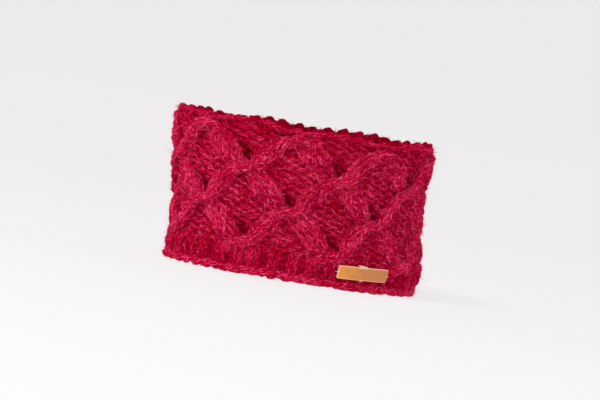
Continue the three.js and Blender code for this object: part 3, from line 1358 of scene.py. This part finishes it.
@dataclass
class LeatherLabel:
    """The bare label: a rounded strip of leather that lies on the hem."""

    shape: BandShape
    start: float = 140.4 * MM
    length: float = 47.6 * MM
    height: float = 10.5 * MM
    middle: float = 14.75 * MM
    slope: float = 0.027
    thickness: float = 1.5 * MM
    back_depth: float = 2.3 * MM
    corner: float = 1.2 * MM
    edge_round: float = 0.35 * MM
    edge_rings: tuple[tuple[float, float], ...] = ((0.0, 0.55), (0.35, 0.15))
    skew: float = -0.13
    columns: int = 72
    rows: int = 18

    def build(self) -> Piece:
        """Makes the label as two sheets that rings join round its edge.

        Returns:
            The label.
        """
        share_x = np.linspace(0, 1, self.columns + 1)
        share_y = np.linspace(0, 1, self.rows + 1)
        x, y = np.meshgrid(share_x * self.length, share_y * self.height, indexing="ij")
        plan = np.stack([x.ravel(), y.ravel()], -1)
        grid = np.arange(x.size).reshape(x.shape)
        rim = np.concatenate([grid[:, 0], grid[-1, 1:], grid[-2::-1, -1], grid[0, -2:0:-1]])
        front = self.sheet(x, y, self.edge_round, self.back_depth - self.thickness)
        verts, rings = [front, self.sheet(x, y, 0.0, self.back_depth)], [rim + x.size]
        for inset, share in self.edge_rings:
            level = self.back_depth - self.thickness * (1 - share)
            rings.append(np.arange(len(rim)) + sum(map(len, verts)))
            verts.append(self.sheet(x, y, inset * self.edge_round, level)[rim])
        rings.append(rim)
        face = grid_faces(*x.shape)
        quads, maps = [face, face[:, ::-1] + x.size], [plan[face], plan[face[:, ::-1]]]
        edge, after = plan[rim], np.roll(plan[rim], -1, axis=0)
        for low, high in zip(rings, rings[1:]):
            quads.append(np.stack([low, np.roll(low, -1), np.roll(high, -1), high], -1))
            maps.append(np.stack([edge, after, after, edge], 1))
        label = quad_object("tan_label", np.concatenate(verts), np.concatenate(quads))
        add_map(label.data, "label_map", np.concatenate(maps))
        label.data.materials.append(LeatherFinish(self.length, self.height).material())
        return label

    def sheet(self, x: Array, y: Array, inset: float, depth: float) -> Array:
        """Lays the label's outline on the hem at one depth.

        Args:
            x: Distances along the label.
            y: Distances up it.
            inset: How far the outline draws in.
            depth: The depth below the crests of the ropes.

        Returns:
            The points.
        """
        across = self.corner - np.minimum(np.minimum(x, self.length - x), self.corner)
        round_in = self.corner - np.sqrt(self.corner**2 - across**2)
        half = self.height / 2
        high = (y - half) * (1 - (round_in + inset) / half)
        along = self.length / 2 + (x - self.length / 2) * (1 - 2 * inset / self.length)
        along = along + self.skew * high
        level = np.full(x.shape, depth)
        return self.shape.place(self.start + along, self.level(along) + high, level).reshape(-1, 3)

    def level(self, along: Array) -> Array:
        """The height of the label's middle line, which rises a little along it."""
        return self.middle + self.slope * (along - self.length / 2)


@dataclass
class ThreadTack:
    """A few loops of thread from the label's face over its edge into the knit."""

    label: LeatherLabel
    side: Side
    share: float
    loops: int
    reach: float
    seed: int
    radius: float = 0.31 * MM
    gap: float = 1.4 * MM
    scatter: float = 0.3 * MM
    fan: float = 0.5 * MM
    curve: float = 0.25 * MM
    slack: float = 0.35 * MM
    steps: int = 26

    def build(self) -> Piece:
        """Makes the tack.

        Returns:
            One object with all its loops.
        """
        random = np.random.default_rng(70 + self.seed)
        top = self.label.thickness
        profile = np.array([
            (-self.reach, top - 0.5 * MM),
            (-self.reach * 0.93, top + 0.25 * MM),
            (-self.reach * 0.5, top + 0.55 * MM),
            (0.0, top + 0.5 * MM),
            (0.6 * MM, top - 0.1 * MM),
            (0.85 * MM, 0.4 * MM),
            (0.9 * MM, -1.2 * MM),
        ])
        knots = np.linspace(0, 1, len(profile))
        t = np.linspace(0, 1, self.steps)
        out, off = (np.interp(t, knots, part) for part in profile.T)
        rows = []
        for loop in range(self.loops):
            lean = (loop - (self.loops - 1) / 2) * self.gap + random.normal(0, self.scatter)
            side = lean + random.normal(0, self.fan) * t
            side = side + self.curve * np.sin(t * math.pi * random.uniform(1, 2))
            arc, height = self.spot(out * random.uniform(0.75, 1.1), side)
            lifted = off + random.uniform(0, self.slack) * np.sin(math.pi * t)
            rows.append((arc, height, self.label.back_depth - lifted, np.full(len(t), self.radius)))
        spinner = Spinner(self.label.shape, sides=8, ply=0.06, lumps=0.03)
        strands = Strands(*map(np.array, zip(*rows)))
        piece, _ = spinner.tubes("thread_" + self.side.value, [strands])
        piece.data.materials.append(ThreadFinish().material())
        return piece

    def spot(self, outward: Array, sideways: Array) -> tuple[Array, Array]:
        """Turns distances from the label's edge into places on the band.

        Args:
            outward: Distances past the edge.
            sideways: Distances along the edge.

        Returns:
            Arc lengths and heights.
        """
        label = self.label
        along = self.share * label.length
        arc, middle = label.start + along, label.level(along)
        sign = 1 if self.side in (Side.RIGHT, Side.TOP) else -1
        if self.side in (Side.LEFT, Side.RIGHT):
            return arc + sign * outward, middle + sideways
        return arc + sideways, middle + sign * (label.height / 2 + outward)


@dataclass
class LabelSet:
    """The label with its four tacks."""

    shape: BandShape = field(default_factory=BandShape)

    def build(self) -> list[Piece]:
        """Builds the label and its tacks, in the places of the solids they stand for.

        Returns:
            The pieces.
        """
        label = LeatherLabel(self.shape)
        leather = label.build()
        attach(leather, "root")
        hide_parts("leather_label")
        tacks = (
            ThreadTack(label, Side.LEFT, share=0.0, loops=1, reach=1.2 * MM, seed=1),
            ThreadTack(label, Side.RIGHT, share=1.0, loops=1, reach=1.2 * MM, seed=2),
            ThreadTack(label, Side.TOP, share=0.43, loops=5, reach=1.0 * MM, seed=3),
            ThreadTack(label, Side.BOTTOM, share=0.47, loops=1, reach=0.8 * MM, seed=4),
        )
        pieces = [leather]
        for tack in tacks:
            piece = tack.build()
            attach(piece, "root")
            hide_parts("label_tack_" + tack.side.value)
            pieces.append(piece)
        return pieces


@dataclass
class KnitBody:
    """The knitted tube: all its yarn, the backing and the fuzz."""

    shape: BandShape = field(default_factory=BandShape)

    def groups(self) -> dict[str, list[Strands]]:
        """Lays all the yarn.

        Returns:
            The strands of each piece, by its name.
        """
        shape = self.shape
        rising = RopeSet(
            shape, Lean.RISING, bend=0.6, waist=0.42, depth=4.2 * MM, crossing_shift=-1.9 * MM,
            pinch=0.56, swell=-0.14, lay=0.12,
        )
        falling = RopeSet(
            shape, Lean.FALLING, bend=0.3, waist=0.0, depth=2.9 * MM, crossing_shift=4.1 * MM,
            pinch=0.36, swell=0.16, lay=-0.25, yarn_radius=1.95 * MM, pitch=5.6 * MM,
        )
        cast_on = EdgeCord(
            shape, middle_height=3.9 * MM, middle_depth=3.7 * MM, winds=20, rise=1.8 * MM,
            swing=1.6 * MM, yarn_radius=1.95 * MM, seed=30,
        )
        # The bind-off gets painted shade, like the top rows beside it.
        bind_off = EdgeCord(
            shape, middle_height=114.6 * MM, middle_depth=6.0 * MM, winds=56, rise=0.8 * MM,
            swing=0.7 * MM, yarn_radius=1.35 * MM, seed=40, count=2, steps=12, shade=1.8 * MM,
        )
        return {
            "purl_ground": [PurlGround(shape).strands()],
            "ropes_rising": [rising.strands()],
            "ropes_falling": [falling.strands()],
            "ribbed_hem": [RibbedHem(shape).strands()],
            "knit_edges": [cast_on.strands(), bind_off.strands()],
        }

    def fuzzes(self) -> list[tuple[Fuzz, WoolFinish]]:
        """Chooses the loose fibres.

        Returns:
            Each kind with its finish: blurred wisps, fibres that lie, and a standing haze.
        """
        wisps = Fuzz(
            "fuzz_wisps", 27000, shortest=2.4 * MM, longest=6.5 * MM, stand=0.35 * MM,
            width=0.62 * MM, seed=51, segments=3, roll=0.5,
        )
        lying = Fuzz(
            "fuzz_lying", 36500, shortest=2.3 * MM, longest=5 * MM, stand=0.8 * MM,
            width=0.24 * MM, seed=52, wander=0.4,
        )
        standing = Fuzz(
            "fuzz_standing", 34000, shortest=1.2 * MM, longest=3.0 * MM, stand=1.5 * MM,
            width=0.14 * MM, seed=53, wander=0.6,
        )
        # The paler, pinker fibre colours are partly the lighter tone of thin fibres and partly painted
        # sheen, which the shaders don't add.
        return [
            (wisps, WoolFinish("wool_wisps", (0.84, 0.034, 0.125), (1.0, 0.165, 0.33))),
            (lying, WoolFinish("wool_fibres", (0.66, 0.007, 0.068), (1.0, 0.108, 0.25))),
            (standing, WoolFinish("wool_haze", (0.56, 0.003, 0.052), (0.84, 0.06, 0.17))),
        ]

    def build(self) -> list[Piece]:
        """Builds every knitted piece and dresses it.

        Returns:
            The pieces.
        """
        yarn = YarnFinish().material()
        pieces, spun = [], []
        for name, groups in self.groups().items():
            piece, strands = Spinner(self.shape).tubes(name, groups)
            piece.data.materials.append(yarn)
            pieces.append(piece)
            spun += strands
        backing = Backing(self.shape, PurlGround(self.shape)).build()
        # The sheet's reds stand for the shade seen in the gaps; painted shade from its depth darkens
        # them further.
        dark, pale = (0.36, 0.0, 0.017), (0.54, 0.0, 0.033)
        gap_fill = WoolFinish(
            "gap_shade_wool", dark, pale, scale=900.0, detail=3.0, main_to=0.35, light_from=0.7,
            relief=0.8,
        )
        backing.data.materials.append(gap_fill.material())
        pieces.append(backing)
        for fuzz, finish in self.fuzzes():
            piece = fuzz.build(spun)
            piece.data.materials.append(finish.material())
            pieces.append(piece)
        for piece in pieces:
            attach(piece, "root")
        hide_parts("knit_band")
        return pieces


def report(pieces: list[Piece]) -> None:
    """Logs each piece's name and how many triangles it has.

    Args:
        pieces: The pieces to report.
    """
    for piece in pieces:
        piece.data.calc_loop_triangles()
        LOG.info("%s: %d triangles", piece.name, len(piece.data.loop_triangles))


def main() -> None:
    """Builds the band and the studio, and logs how many triangles each piece has."""
    logging.basicConfig(level=logging.INFO, format="%(message)s")
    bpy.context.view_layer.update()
    Studio().build()
    report(KnitBody().build())
    report(LabelSet().build())
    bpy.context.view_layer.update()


if __name__ == "__main__":
    main()
